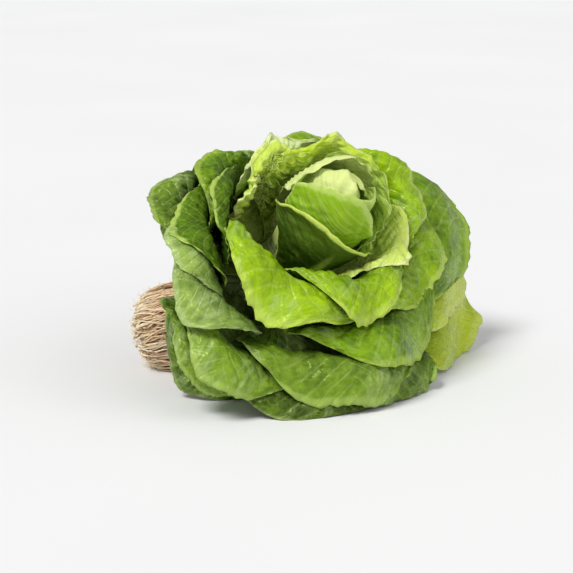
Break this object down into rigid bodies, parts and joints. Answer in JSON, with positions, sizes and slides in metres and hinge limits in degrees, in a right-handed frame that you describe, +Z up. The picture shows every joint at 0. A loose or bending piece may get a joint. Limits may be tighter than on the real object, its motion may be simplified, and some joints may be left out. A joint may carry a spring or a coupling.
{
  "type": "butterhead lettuce",
  "caption": "Loose butterhead lettuce with its matted root plug, lying on its side: cupped, ruffled open leaves round a closed pale heart, on a short stem.",
  "frame": {"origin": "on the resting surface, under the middle of the plant's bounding box", "axes": "+X to the right as seen from the front, the way the head's open top leans; +Y away from the viewer; +Z up"},
  "size_m": [0.2532, 0.21, 0.1708],
  "materials": {
    "outer_leaf": "waxy leaf, dull side out",
    "middle_leaf": "waxy leaf",
    "inner_leaf": "waxy leaf, bright",
    "heart_leaf": "pale, tender leaf",
    "stem": "smooth, pale green",
    "roots": "matted dry fibres"
  },
  "bodies": {
    "root": {"heart_leaf_01": "heart_leaf", "heart_leaf_02": "heart_leaf", "heart_leaf_03": "heart_leaf", "heart_leaf_04": "heart_leaf", "heart_leaf_05": "heart_leaf", "heart_leaf_06": "heart_leaf", "heart_leaf_07": "heart_leaf", "heart_leaf_08": "heart_leaf", "inner_leaf_01": "inner_leaf", "inner_leaf_02": "inner_leaf", "inner_leaf_03": "inner_leaf", "inner_leaf_04": "inner_leaf", "inner_leaf_05": "inner_leaf", "inner_leaf_06": "inner_leaf", "inner_leaf_07": "inner_leaf", "inner_leaf_08": "inner_leaf", "inner_leaf_09": "inner_leaf", "middle_leaf_01": "middle_leaf", "middle_leaf_02": "middle_leaf", "middle_leaf_03": "middle_leaf", "middle_leaf_04": "middle_leaf", "middle_leaf_05": "middle_leaf", "middle_leaf_06": "middle_leaf", "middle_leaf_07": "middle_leaf", "middle_leaf_08": "middle_leaf", "middle_leaf_09": "middle_leaf", "outer_leaf_01": "outer_leaf", "outer_leaf_02": "outer_leaf", "outer_leaf_03": "outer_leaf", "outer_leaf_04": "outer_leaf", "outer_leaf_05": "outer_leaf", "outer_leaf_06": "outer_leaf", "outer_leaf_07": "outer_leaf", "outer_leaf_08": "outer_leaf", "outer_leaf_09": "outer_leaf", "outer_leaf_10": "outer_leaf", "outer_leaf_11": "outer_leaf", "outer_leaf_12": "outer_leaf", "roots": "roots", "stem": "stem"}
  },
  "joints": []
}
